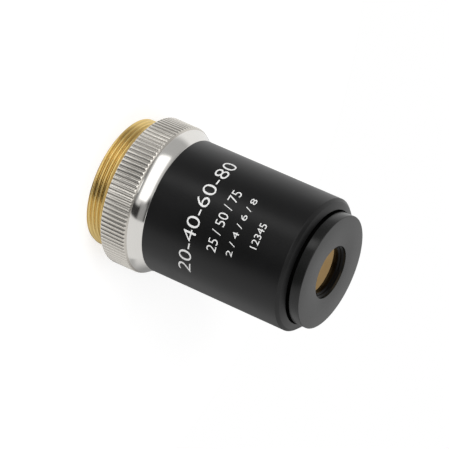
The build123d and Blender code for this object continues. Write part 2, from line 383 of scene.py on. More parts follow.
class Effects:
    """The surface effects that several finishes share, one node group each."""

    def __init__(self) -> None:
        """Builds the groups."""
        self.place = self._place()
        self.turning = self._turning()
        self.grain = self._grain()
        self.handling = self._handling()
        self.depth = self._depth()

    @staticmethod
    def _place() -> bpy.types.NodeTree:
        """Radius of a point in millimetres, and its place in the turned section."""
        tree, given, result = shader_group(
            "place_on_turned_piece", {}, {"Radius": "Float", "Section": "Vector"})
        x, y, z = tree.split(tree.scaled(given.outputs["Vector"], 1 / MM))
        squares = tree.math("ADD", tree.math("MULTIPLY", x, x), tree.math("MULTIPLY", y, y))
        radius = tree.math("SQRT", squares)
        tree.feed(result.inputs["Radius"], radius)
        tree.feed(result.inputs["Section"], tree.joined(radius, z))
        return tree.tree

    def _turning(self) -> bpy.types.NodeTree:
        """Fine rings that a lathe tool leaves, on walls and faces alike."""
        tree, given, result = shader_group(
            "turning_marks", {"Marks per mm": "Float", "Waver": "Float"},
            {"Height": "Float", "Shade": "Float"})
        place = tree.node("ShaderNodeGroup", node_tree=self.place)
        tree.feed(place.inputs["Vector"], given.outputs["Vector"])
        section = place.outputs["Section"]
        fine = tree.noise(section, given.outputs["Marks per mm"], detail=2.0, dimensions="2D")
        broad = tree.noise(section, scale=1.7, detail=2.0, dimensions="2D")
        uneven = tree.noise(tree.scaled(given.outputs["Vector"], 1 / MM), scale=0.35, detail=1.0)
        waver = tree.math("MULTIPLY", uneven, given.outputs["Waver"])
        tree.feed(result.inputs["Height"], fine)
        tree.feed(result.inputs["Shade"], tree.math("ADD", tree.weighed(broad, 0.6, fine), waver, clamp=True))
        return tree.tree

    @staticmethod
    def _grain() -> bpy.types.NodeTree:
        """The fine grain of a blasted and anodised or painted surface."""
        tree, given, result = shader_group(
            "blasted_grain", {"Grains per mm": "Float"}, {"Height": "Float", "Shade": "Float"})
        spot = tree.scaled(given.outputs["Vector"], 1 / MM)
        grains = given.outputs["Grains per mm"]
        fine = tree.noise(spot, grains, detail=2.0)
        coarse = tree.noise(spot, tree.math("MULTIPLY", grains, 0.18), detail=3.0)
        tree.feed(result.inputs["Height"], fine)
        tree.feed(result.inputs["Shade"], tree.weighed(fine, 0.45, coarse))
        return tree.tree

    @staticmethod
    def _handling() -> bpy.types.NodeTree:
        """Faint wiped patches and a little dust, as on a part that has been handled with care."""
        tree, given, result = shader_group(
            "handling_marks", {"Dust": "Float"}, {"Wiped": "Float", "Dust": "Float"})
        spot = tree.scaled(given.outputs["Vector"], 1 / MM)
        patches = tree.noise(spot, scale=0.16, detail=4.0)
        tree.feed(result.inputs["Wiped"], tree.ramp(patches, low=0.42, high=0.66))
        specks = tree.node("ShaderNodeTexVoronoi", feature="F1")
        tree.feed(specks.inputs["Vector"], spot)
        specks.inputs["Scale"].default_value = 1.1
        near = tree.ramp(specks.outputs["Distance"], low=0.035, high=0.06, to_low=1.0, to_high=0.0)
        tree.feed(result.inputs["Dust"], tree.math("MULTIPLY", near, given.outputs["Dust"]))
        return tree.tree

    def _depth(self) -> bpy.types.NodeTree:
        """How deep a point lies between the crests and the roots of a thread or a knurl, the mask for the
        painted shade in the roots.
        """
        tree, given, result = shader_group(
            "cut_depth", {"Crest radius": "Float", "Root radius": "Float"}, {"Depth": "Float"})
        place = tree.node("ShaderNodeGroup", node_tree=self.place)
        tree.feed(place.inputs["Vector"], given.outputs["Vector"])
        root, crest = given.outputs["Root radius"], given.outputs["Crest radius"]
        depth = tree.ramp(place.outputs["Radius"], low=root, high=crest, to_low=1.0, to_high=0.0)
        tree.feed(result.inputs["Depth"], depth)
        return tree.tree


# Finishes


class Coat:
    """One material under construction: its tree, its Principled BSDF and its object coordinates."""

    def __init__(self, name: str) -> None:
        """Makes the material and finds its shader."""
        self.material = bpy.data.materials.new(name)
        self.material.use_nodes = True
        self.tree = Tree(self.material.node_tree)
        self.shader = self.material.node_tree.nodes["Principled BSDF"]
        self.vector = self.tree.node("ShaderNodeTexCoord").outputs["Object"]

    def set(self, **values: object) -> None:
        """Gives the shader's sockets plain values, with underscores for the spaces in their names."""
        for key, value in values.items():
            self.shader.inputs[key.replace("_", " ")].default_value = value

    def effect(self, group: bpy.types.NodeTree, **values: float) -> Mapping[str, bpy.types.NodeSocket]:
        """Places one shared effect.

        Args:
            group: The effect's node group.
            **values: Its input values, with underscores for the spaces in their names.

        Returns:
            The group node's outputs by name.
        """
        made = self.tree.node("ShaderNodeGroup", node_tree=group)
        self.tree.feed(made.inputs["Vector"], self.vector)
        for key, value in values.items():
            made.inputs[key.replace("_", " ")].default_value = value
        return made.outputs

    def link(self, socket: str, value: object) -> None:
        """Feeds one of the shader's sockets."""
        self.tree.feed(self.shader.inputs[socket], value)

    def bump(self, height: object, depth_mm: float) -> None:
        """Adds a bump of one depth on top of those that are there.

        Args:
            height: The height from 0 to 1.
            depth_mm: How deep the full height is, in millimetres.
        """
        made = self.tree.node("ShaderNodeBump")
        made.inputs["Distance"].default_value = depth_mm * MM
        self.tree.feed(made.inputs["Height"], height)
        if self.shader.inputs["Normal"].is_linked:
            self.tree.feed(made.inputs["Normal"], self.shader.inputs["Normal"].links[0].from_socket)
        self.link("Normal", made.outputs["Normal"])


@dataclass(frozen=True)
class MetalFinish:
    """Bare or plated metal with turning marks, and painted shade that darkens it where a cut is deep."""

    name: str
    tone: Colour
    # Painted shade: the colour that the deep parts of a cut darken towards.
    painted_shade_tone: Colour
    roughness: float
    rough_range: float
    marks_per_mm: float
    mark_depth: float
    crest_radius: float
    root_radius: float
    # Painted shade: how far the deep parts of a cut darken towards that colour.
    painted_shade_share: float
    metal: float = 1.0
    waver: float = 0.15
    worn_share: float = 0.35
    worn_tone: float = 0.86
    wiped_rough: float = 0.04

    def make(self, effects: Effects) -> bpy.types.Material:
        """Builds the material.

        Args:
            effects: The shared node groups.

        Returns:
            The finished material.
        """
        coat = Coat(self.name)
        tree = coat.tree
        marks = coat.effect(effects.turning, Marks_per_mm=self.marks_per_mm, Waver=self.waver)
        wiped = coat.effect(effects.handling, Dust=0.0)
        depth = coat.effect(effects.depth, Crest_radius=self.crest_radius, Root_radius=self.root_radius)
        # Painted shade: the colour darkens where a cut is deep, in the roots of a thread or a knurl.
        deep = tree.math("MULTIPLY", depth["Depth"], self.painted_shade_share)
        wear = tree.math("MULTIPLY", marks["Shade"], self.worn_share)
        worn = tree.blend(wear, shaded(self.tone), shaded(self.tone, self.worn_tone))
        coat.link("Base Color", tree.blend(deep, worn, shaded(self.painted_shade_tone)))
        rough = tree.math("MULTIPLY_ADD", marks["Shade"], self.rough_range, self.roughness)
        coat.link("Roughness", tree.math("MULTIPLY_ADD", wiped["Wiped"], self.wiped_rough, rough))
        coat.set(Metallic=self.metal)
        coat.bump(marks["Height"], self.mark_depth)
        return coat.material


@dataclass(frozen=True)
class BlackFinish:
    """Black anodised aluminium: a dark dielectric skin with a fine grain and faint turning marks."""

    name: str
    tone: Colour
    roughness: float
    rough_range: float
    grains_per_mm: float
    grain_depth: float
    marks_per_mm: float
    mark_depth: float
    dust: float
    mirror: float
    waver: float = 0.2
    dark_share: float = 0.8
    light_share: float = 1.35
    dust_tone: Colour = (0.25, 0.24, 0.22)

    def make(self, effects: Effects) -> bpy.types.Material:
        """Builds the material.

        Args:
            effects: The shared node groups.

        Returns:
            The finished material.
        """
        coat = Coat(self.name)
        grain = coat.effect(effects.grain, Grains_per_mm=self.grains_per_mm)
        marks = coat.effect(effects.turning, Marks_per_mm=self.marks_per_mm, Waver=self.waver)
        wiped = coat.effect(effects.handling, Dust=self.dust)
        dark, light = shaded(self.tone, self.dark_share), shaded(self.tone, self.light_share)
        mottled = coat.tree.blend(grain["Shade"], dark, light)
        coat.link("Base Color", coat.tree.blend(wiped["Dust"], mottled, shaded(self.dust_tone)))
        spread = coat.tree.weighed(marks["Shade"], 0.5, wiped["Wiped"])
        coat.link("Roughness", coat.tree.math("MULTIPLY_ADD", spread, self.rough_range, self.roughness))
        coat.set(Specular_IOR_Level=self.mirror)
        coat.bump(grain["Height"], self.grain_depth)
        coat.bump(marks["Height"], self.mark_depth)
        return coat.material


@dataclass(frozen=True)
class GlassFinish:
    """Polished glass, with a thin coating whose tint shows in the reflection."""

    name: str
    tint: Colour
    metallic: float
    transmission: float
    roughness: float
    index: float
    edge_tint: Colour = (1.0, 1.0, 1.0)
    dust: float = 0.5
    dust_tone: Colour = (0.6, 0.58, 0.54)
    wiped_share: float = 1.12
    wiped_haze: float = 0.01
    wiped_rough: float = 0.02

    def make(self, effects: Effects) -> bpy.types.Material:
        """Builds the material.

        Args:
            effects: The shared node groups.

        Returns:
            The finished material.
        """
        coat = Coat(self.name)
        wiped = coat.effect(effects.handling, Dust=self.dust)
        paler = tuple(min(1.0, self.wiped_share * part + self.wiped_haze) for part in self.tint)
        toned = coat.tree.blend(wiped["Wiped"], shaded(self.tint), shaded(paler))
        coat.link("Base Color", coat.tree.blend(wiped["Dust"], toned, shaded(self.dust_tone)))
        rough = coat.tree.math("MULTIPLY_ADD", wiped["Wiped"], self.wiped_rough, self.roughness)
        coat.link("Roughness", rough)
        coat.set(Metallic=self.metallic, Transmission_Weight=self.transmission, IOR=self.index,
                 Specular_Tint=shaded(self.edge_tint))
        return coat.material


@dataclass(frozen=True)
class PaintFinish:
    """The white paint that fills the engraved numbers."""

    name: str
    tone: Colour
    roughness: float
    rough_range: float = 0.15
    dull_share: float = 0.88
    grains_per_mm: float = 14.0
    grain_depth: float = 0.002

    def make(self, effects: Effects) -> bpy.types.Material:
        """Builds the material.

        Args:
            effects: The shared node groups.

        Returns:
            The finished material.
        """
        coat = Coat(self.name)
        grain = coat.effect(effects.grain, Grains_per_mm=self.grains_per_mm)
        duller = shaded(self.tone, self.dull_share)
        coat.link("Base Color", coat.tree.blend(grain["Shade"], shaded(self.tone), duller))
        rough = coat.tree.math("MULTIPLY_ADD", grain["Shade"], self.rough_range, self.roughness)
        coat.link("Roughness", rough)
        coat.bump(grain["Height"], self.grain_depth)
        return coat.material


@dataclass(frozen=True)
class Finishes:
    """Every finish of the objective, as built materials."""

    brass: bpy.types.Material
    knurl: bpy.types.Material
    polished: bpy.types.Material
    sleeve: bpy.types.Material
    nose: bpy.types.Material
    cell: bpy.types.Material
    steel: bpy.types.Material
    coated: bpy.types.Material
    glass: bpy.types.Material
    paint: bpy.types.Material


def metal_finishes() -> dict[str, MetalFinish]:
    """The bare and plated metals, by the names that Finishes gives them."""
    return {
        # Each metal's shade tone and share set the painted shade in the deep parts of its cut.
        "brass": MetalFinish(
            "bare_brass", tone=(0.92, 0.68, 0.27), painted_shade_tone=(0.42, 0.26, 0.07), roughness=0.16,
            rough_range=0.08, marks_per_mm=6.0, mark_depth=0.0006, crest_radius=10.14, root_radius=9.8,
            painted_shade_share=0.45),
        "knurl": MetalFinish(
            "nickel_knurl", tone=(0.95, 0.91, 0.84), painted_shade_tone=(0.5, 0.47, 0.42), roughness=0.19,
            rough_range=0.08, marks_per_mm=7.5, mark_depth=0.0008, crest_radius=11.78, root_radius=11.65,
            painted_shade_share=0.6, metal=0.92),
        "polished": MetalFinish(
            "nickel_polished", tone=(0.92, 0.9, 0.86), painted_shade_tone=(0.7, 0.69, 0.66), roughness=0.06,
            rough_range=0.06, marks_per_mm=3.0, mark_depth=0.0015, crest_radius=11.9, root_radius=8.0,
            painted_shade_share=0.1),
        "steel": MetalFinish(
            "screw_steel", tone=(0.5, 0.5, 0.51), painted_shade_tone=(0.3, 0.3, 0.3), roughness=0.3, rough_range=0.1,
            marks_per_mm=10.0, mark_depth=0.002, crest_radius=12.0, root_radius=8.0, painted_shade_share=0.2),
    }


def black_finishes() -> dict[str, BlackFinish]:
    """The blackened aluminium, by the names that Finishes gives it."""
    return {
        "sleeve": BlackFinish(
            "satin_black", tone=(0.004, 0.004, 0.0042), roughness=0.31, rough_range=0.08, grains_per_mm=11.0,
            grain_depth=0.0006, marks_per_mm=7.5, mark_depth=0.0005, dust=0.05, mirror=0.4),
        "nose": BlackFinish(
            "matt_black", tone=(0.007, 0.0073, 0.007), roughness=0.2, rough_range=0.08, grains_per_mm=12.0,
            grain_depth=0.0006, marks_per_mm=9.0, mark_depth=0.0006, dust=0.06, mirror=0.43),
        "cell": BlackFinish(
            "blackened_cell", tone=(0.002, 0.0019, 0.0018), roughness=0.14, rough_range=0.1,
            grains_per_mm=10.0, grain_depth=0.0006, marks_per_mm=5.0, mark_depth=0.0006, dust=0.03,
            mirror=0.1),
    }


def build_finishes(effects: Effects) -> Finishes:
    """Builds every finish.

    Args:
        effects: The shared node groups.

    Returns:
        The materials by name.
    """
    recipes = metal_finishes() | black_finishes() | {
        "coated": GlassFinish("coated_glass", tint=(0.25, 0.15, 0.055), metallic=0.86, transmission=0.9,
                              roughness=0.03, index=1.52, edge_tint=(0.95, 0.85, 0.66)),
        "glass": GlassFinish("lens_glass", tint=(0.86, 0.93, 0.9), metallic=0.0, transmission=1.0,
                             roughness=0.01, index=1.6),
        "paint": PaintFinish("engraving_white", tone=(0.86, 0.86, 0.85), roughness=0.45),
    }
    return Finishes(**{name: recipe.make(effects) for name, recipe in recipes.items()})


# Geometry Nodes trees


class GeometryTree(Tree):
    """A Geometry Nodes tree with named inputs that is used once and then baked."""

    def __init__(self, name: str, inputs: dict[str, tuple[str, object]]) -> None:
        """Starts the tree.

        Args:
            name: The tree's name.
            inputs: Socket kind and value of each named input.
        """
        super().__init__(bpy.data.node_groups.new(name, "GeometryNodeTree"))
        self.values = {label: value for label, (_, value) in inputs.items()}
        self.tree.interface.new_socket("Geometry", in_out="INPUT", socket_type="NodeSocketGeometry")
        for label, (kind, _) in inputs.items():
            self.tree.interface.new_socket(label, in_out="INPUT", socket_type="NodeSocket" + kind)
        self.tree.interface.new_socket("Geometry", in_out="OUTPUT", socket_type="NodeSocketGeometry")
        self.given = self.node("NodeGroupInput").outputs
        self.result = self.node("NodeGroupOutput").inputs[0]

    def welded(self, geometry: bpy.types.NodeSocket) -> bpy.types.NodeSocket:
        """Merges the points that lie within the tree's Weld distance, and returns the geometry."""
        made = self.node("GeometryNodeMergeByDistance")
        self.feed(made.inputs["Geometry"], geometry)
        self.feed(made.inputs["Distance"], self.given["Weld"])
        return made.outputs["Geometry"]

    def end(self, geometry: bpy.types.NodeSocket, material: bpy.types.Material) -> None:
        """Ends the tree in Realize Instances and Set Material.

        Args:
            geometry: The finished geometry.
            material: Its finish.
        """
        real = self.node("GeometryNodeRealizeInstances")
        self.feed(real.inputs["Geometry"], geometry)
        dressed = self.node("GeometryNodeSetMaterial")
        self.feed(dressed.inputs["Geometry"], real.outputs["Geometry"])
        dressed.inputs["Material"].default_value = material
        self.feed(self.result, dressed.outputs["Geometry"])

    def grown(self, mesh: bpy.types.Mesh) -> bpy.types.Mesh:
        """Runs the tree on a mesh.

        Args:
            mesh: What goes into the tree.

        Returns:
            The plain mesh that comes out.
        """
        carrier = bpy.data.objects.new(self.tree.name, mesh)
        bpy.context.scene.collection.objects.link(carrier)
        modifier = carrier.modifiers.new(self.tree.name, "NODES")
        modifier.node_group = self.tree
        for item in self.tree.interface.items_tree:
            if item.in_out == "INPUT" and item.name in self.values:
                modifier[item.identifier] = self.values[item.name]
        result = baked(carrier)
        bpy.data.objects.remove(carrier)
        return result


# Sub-assemblies


@dataclass
class MountBarrel:
    """The brass barrel with its helical mount thread, relief groove and land."""

    crest_radius: float = 10.16
    thread_depth: float = 0.32
    pitch: float = 0.7056
    flat_share: float = 0.02
    rear: float = -3.75
    rear_bevel: float = 0.2
    front_bevel: float = 0.22
    relief_rear: float = -0.74
    relief_radius: float = 9.66
    land_rear: float = -0.27
    land_radius: float = 10.0
    edge: float = 0.06
    barrel_radius: float = 9.38
    barrel_front: float = 25.755
    bore_radius: float = 8.07
    ledge_bore_radius: float = 7.54
    ledge_rear: float = 3.43
    ledge_front: float = 4.68
    port_radius: float = 8.24
    port_bevel: float = 0.2
    rows: int = 76
    columns: int = 320
    weld: float = 0.002
    sharp_degrees: float = 38.0

    def _wall(self) -> bpy.types.Mesh:
        """A flat grid of rows along the axis and columns round it, which the tree wraps into the thread."""
        shape = bmesh.new()
        bmesh.ops.create_grid(shape, x_segments=self.columns, y_segments=self.rows, size=0.5)
        return as_mesh(shape)

    def _start_tree(self) -> GeometryTree:
        """The thread's empty tree with its named inputs."""
        return GeometryTree("mount_thread_rule", {
            "Crest radius": ("Float", self.crest_radius * MM),
            "Depth": ("Float", self.thread_depth * MM),
            "Pitch": ("Float", self.pitch * MM),
            "Rear": ("Float", self.rear * MM),
            "Front": ("Float", self.relief_rear * MM),
            "Rear bevel": ("Float", self.rear_bevel * MM),
            "Front bevel": ("Float", self.front_bevel * MM),
            "Weld": ("Float", self.weld * MM),
        })

    def _thread_radius(self, tree: GeometryTree, turns: bpy.types.NodeSocket,
                       height: bpy.types.NodeSocket) -> bpy.types.NodeSocket:
        """The thread's rule.

        Args:
            tree: The tree to build in.
            turns: A point's place round the axis, from 0 to 1.
            height: Its height along the axis.

        Returns:
            The radius of the threaded wall there, within the bevels at its two ends.
        """
        given = tree.given
        crest = given["Crest radius"]
        phase = tree.math("FRACT", tree.math("SUBTRACT", tree.math("DIVIDE", height, given["Pitch"]), turns))
        flank = tree.math("ABSOLUTE", tree.math("SUBTRACT", phase, 0.5))
        cut = tree.ramp(flank, low=self.flat_share, high=0.5 - self.flat_share)
        thread = tree.math("SUBTRACT", crest, tree.math("MULTIPLY", cut, given["Depth"]))
        from_rear = tree.math("SUBTRACT", height, given["Rear"])
        from_front = tree.math("SUBTRACT", given["Front"], height)
        rear_cone = tree.math("ADD", tree.math("SUBTRACT", crest, given["Rear bevel"]), from_rear)
        front_cone = tree.math("ADD", tree.math("SUBTRACT", crest, given["Front bevel"]), from_front)
        return tree.math("MINIMUM", thread, tree.math("MINIMUM", rear_cone, front_cone))

    def thread_tree(self, material: bpy.types.Material) -> GeometryTree:
        """The tree that wraps a flat grid round the axis and cuts the thread's rule into it.

        Args:
            material: The thread's finish.

        Returns:
            The finished tree.
        """
        tree = self._start_tree()
        given = tree.given
        x, y, _ = tree.split(tree.node("GeometryNodeInputPosition").outputs[0])
        turn = tree.math("MULTIPLY", tree.math("ADD", x, 0.5), FULL_TURN)
        turns = tree.math("DIVIDE", turn, FULL_TURN)
        share = tree.math("ADD", y, 0.5)
        span = tree.math("SUBTRACT", given["Front"], given["Rear"])
        height = tree.math("MULTIPLY_ADD", share, span, given["Rear"])
        radius = self._thread_radius(tree, turns, height)
        spot = tree.joined(tree.math("MULTIPLY", radius, tree.math("COSINE", turn)),
                           tree.math("MULTIPLY", radius, tree.math("SINE", turn)), height)
        moved = tree.node("GeometryNodeSetPosition")
        tree.feed(moved.inputs["Geometry"], given["Geometry"])
        tree.feed(moved.inputs["Position"], spot)
        tree.end(tree.welded(moved.outputs["Geometry"]), material)
        return tree

    def rear_section(self) -> list[Point]:
        """From the thread's rear end into the port, over the ledge and along the bore."""
        return [
            (self.port_radius + self.port_bevel, self.rear),
            (self.port_radius, self.rear + self.port_bevel),
            (self.port_radius, self.ledge_rear),
            (self.ledge_bore_radius, self.ledge_rear),
            (self.ledge_bore_radius, self.ledge_front),
            (self.bore_radius, self.ledge_front),
            (self.bore_radius, self.barrel_front),
        ]

    def front_section(self) -> list[Point]:
        """From the thread's front end through the relief groove, over the land and along the barrel."""
        return [
            (self.relief_radius + self.edge, self.relief_rear),
            (self.relief_radius, self.relief_rear + self.edge),
            (self.relief_radius, self.land_rear - self.edge),
            (self.relief_radius + self.edge, self.land_rear),
            (self.land_radius - self.edge, self.land_rear),
            (self.land_radius, self.land_rear + self.edge),
            (self.land_radius, 0.0),
            (self.barrel_radius, 0.0),
            (self.barrel_radius, self.barrel_front),
        ]

    def build(self, finishes: Finishes) -> None:
        """Builds the barrel in place of its plain solid."""
        thread = self.thread_tree(finishes.brass).grown(self._wall())
        mesh = closed_shell(thread, self.rear_section(), self.front_section())
        smooth(mesh, math.radians(self.sharp_degrees))
        seat(placed("threaded_barrel", mesh, finishes.brass), Slot.BRASS, "mount_barrel")


@dataclass
class GripRing:
    """The plated ring: a straight knurl with soft crests, then the polished cone."""

    crest_radius: float = 11.79
    depth: float = 0.14
    count: int = 100
    rear_bevel: float = 0.12
    knurl_top: float = 4.06
    shoulder_in: float = 0.31
    shoulder_up: float = 0.51
    shoulder_power: float = 1.5
    cone_radius: float = 10.59
    cone_top: float = 6.64
    cone_hollow: float = 0.14
    cone_lip: float = 0.04
    bore_radius: float = 9.4
    tooth_steps: int = 12
    shoulder_steps: int = 10
    cone_steps: int = 24
    weld: float = 0.004
    sharp_degrees: float = 34.0

    def wall_radius(self, height: float) -> float:
        """Radius of the turned wall that the knurl is cut into, with its rear bevel and its shoulder."""
        if height < self.rear_bevel:
            return self.crest_radius - self.rear_bevel + height
        past = max(0.0, height - self.knurl_top) / self.shoulder_up
        return self.crest_radius - self.shoulder_in * past ** self.shoulder_power

    def tooth_heights(self) -> list[float]:
        """Heights of the rings of points on a tooth, closer together on the bevel and the shoulder."""
        rise = [self.shoulder_up * k / self.shoulder_steps for k in range(self.shoulder_steps + 1)]
        return [0.0, self.rear_bevel / 2, self.rear_bevel] + [self.knurl_top + up for up in rise]

    def tooth(self) -> bpy.types.Mesh:
        """One wave of the knurl from the ring's rear face to the start of the cone."""
        shape = bmesh.new()
        pitch = FULL_TURN / self.count
        grid = []
        for height in self.tooth_heights():
            line = []
            for k in range(self.tooth_steps + 1):
                share = k / self.tooth_steps - 0.5
                wave = self.crest_radius - self.depth * (1 - math.cos(FULL_TURN * share)) / 2
                radius = min(wave, self.wall_radius(height))
                line.append(shape.verts.new(on_wall(radius, height, share * pitch)))
            grid.append(line)
        for low, high in zip(grid, grid[1:]):
            for k in range(self.tooth_steps):
                shape.faces.new((low[k], low[k + 1], high[k + 1], high[k]))
        return as_mesh(shape)

    def knurl_tree(self, material: bpy.types.Material) -> GeometryTree:
        """The tree that repeats one tooth round the ring.

        Args:
            material: The ring's finish.

        Returns:
            The finished tree.
        """
        tree = GeometryTree("knurl_repeat", {"Count": ("Int", self.count), "Weld": ("Float", self.weld * MM)})
        given = tree.given
        index = tree.node("GeometryNodeInputIndex").outputs[0]
        turn = tree.math("MULTIPLY", tree.math("DIVIDE", index, given["Count"]), FULL_TURN)
        points = tree.node("GeometryNodeMeshLine")
        tree.feed(points.inputs["Count"], given["Count"])
        points.inputs["Offset"].default_value = (0.0, 0.0, 0.0)
        copies = tree.node("GeometryNodeInstanceOnPoints")
        tree.feed(copies.inputs["Points"], points.outputs["Mesh"])
        tree.feed(copies.inputs["Instance"], given["Geometry"])
        tree.feed(copies.inputs["Rotation"], tree.joined(0.0, 0.0, turn))
        real = tree.node("GeometryNodeRealizeInstances")
        tree.feed(real.inputs["Geometry"], copies.outputs["Instances"])
        tree.end(tree.welded(real.outputs["Geometry"]), material)
        return tree

    def cone_section(self) -> list[Point]:
        """The polished, hollow cone from the knurl's shoulder to the sleeve, and back to the bore."""
        start = Vector((self.crest_radius - self.shoulder_in, self.knurl_top + self.shoulder_up))
        end = Vector((self.cone_radius, self.cone_top - self.cone_lip))
        across = Vector((end.y - start.y, start.x - end.x)).normalized()
        points = []
        for k in range(1, self.cone_steps + 1):
            t = k / self.cone_steps
            spot = start.lerp(end, t) - across * self.cone_hollow * 4 * t * (1 - t)
            points.append((spot.x, spot.y))
        return points + [(self.cone_radius - self.cone_lip, self.cone_top), (self.bore_radius, self.cone_top)]

    def build(self, finishes: Finishes) -> None:
        """Builds the ring in place of its solid, with the knurl and the cone in one closed mesh."""
        knurl = self.knurl_tree(finishes.knurl).grown(self.tooth())
        mesh = closed_shell(knurl, [(self.bore_radius, 0.0)], self.cone_section(), front_finish=1)
        smooth(mesh, math.radians(self.sharp_degrees))
        seat(placed("grip_ring", mesh, finishes.knurl, finishes.polished), Slot.NICKEL, "knurled_ring")


@dataclass
class NumberLine:
    """One engraved line of plain numbers, with its size, its place on the sleeve and its strokes' weight."""

    words: str
    size: float
    width: float
    baseline: float
    azimuth: float
    weight: float


@dataclass
class Sleeve:
    """The satin black sleeve with a bevelled front edge and white engraved numbers."""

    radius: float = 10.55
    bore_radius: float = 9.4
    rear: float = 6.64
    front: float = 30.895
    bevel_out: float = 0.44
    bevel_up: float = 0.45
    cone_up: float = 0.445
    lip_radius: float = 9.06
    lip_height: float = 0.98
    edge: float = 0.04
    cone_edge: float = 0.08
    bevel_edge: float = 0.12
    strip: float = 0.27
    paint_height: float = 0.01
    curve_steps: int = 5
    merge_distance: float = 1e-5

    def section(self) -> list[Point]:
        """The sleeve's section, with each turned edge slightly broken."""
        cone_rear = self.front - self.cone_up
        return rounded([
            (self.bore_radius, self.rear, 0.0),
            (self.radius, self.rear, self.edge),
            (self.radius, cone_rear - self.bevel_up, self.bevel_edge),
            (self.radius - self.bevel_out, cone_rear, self.cone_edge),
            (self.lip_radius, self.front, self.edge),
            (self.lip_radius, self.front - self.lip_height, self.edge),
            (self.bore_radius, self.front - self.lip_height, 0.0),
        ])

    def numbers(self) -> list[NumberLine]:
        """The four engraved lines, from the ring towards the nose."""
        return [
            NumberLine("20-40-60-80", size=2.15, width=19.85, baseline=15.32, azimuth=1.5, weight=-0.009),
            NumberLine("25 / 50 / 75", size=1.6, width=9.93, baseline=19.07, azimuth=3.2, weight=-0.006),
            NumberLine("2 / 4 / 6 / 8", size=1.02, width=9.46, baseline=21.77, azimuth=4.1, weight=-0.003),
            NumberLine("12345", size=1.17, width=3.91, baseline=25.17, azimuth=3.1, weight=-0.003),
        ]

    def _flat_numbers(self, line: NumberLine) -> bmesh.types.BMesh:
        """Makes one line of numbers as a thin flat slab.

        Args:
            line: What the line says and how large it is.

        Returns:
            The slab in millimetres, centred along the line and standing on its baseline.
        """
        text = bpy.data.curves.new("numbers", "FONT")
        text.body = line.words
        text.extrude = self.paint_height / line.size
        text.offset = line.weight
        text.resolution_u = self.curve_steps
        carrier = bpy.data.objects.new("numbers", text)
        bpy.context.scene.collection.objects.link(carrier)
        flat = baked(carrier)
        bpy.data.objects.remove(carrier)
        shape = bmesh.new()
        shape.from_mesh(flat)
        across = [vert.co.x for vert in shape.verts]
        up = [vert.co.y for vert in shape.verts]
        middle = (min(across) + max(across)) / 2
        wider = line.width / (max(across) - min(across))
        low = min(up)
        taller = line.size / (max(up) - low)
        for vert in shape.verts:
            vert.co.x = (vert.co.x - middle) * wider
            vert.co.y = (vert.co.y - low) * taller
            vert.co.z *= line.size
        return shape

    def engraved(self, line: NumberLine) -> bpy.types.Mesh:
        """Makes one line of numbers and bends it on the sleeve.

        Args:
            line: What the line says and where it stands.

        Returns:
            The thin closed mesh of its characters.
        """
        shape = self._flat_numbers(line)
        cuts = int(line.width / self.strip)
        for k in range(1, cuts):
            whole = shape.verts[:] + shape.edges[:] + shape.faces[:]
            place = ((k / cuts - 0.5) * line.width, 0.0, 0.0)
            bmesh.ops.bisect_plane(shape, geom=whole, plane_co=place, plane_no=(1.0, 0.0, 0.0))
        bmesh.ops.remove_doubles(shape, verts=shape.verts, dist=self.merge_distance)
        for vert in shape.verts:
            turn = vert.co.x / self.radius + math.radians(line.azimuth)
            radius = (self.radius + vert.co.z) * MM
            height = (line.baseline - vert.co.y) * MM
            vert.co = Vector((-radius * math.sin(turn), -radius * math.cos(turn), height))
        return as_closed_mesh(shape)

    def build(self, finishes: Finishes) -> None:
        """Builds the sleeve and its numbers."""
        shell = spun(self.section())
        smooth(shell)
        seat(placed("sleeve_shell", shell, finishes.sleeve), Slot.SLEEVE, "outer_sleeve")
        for count, line in enumerate(self.numbers(), 1):
            seat(placed(f"engraved_line_{count}", self.engraved(line), finishes.paint), None)


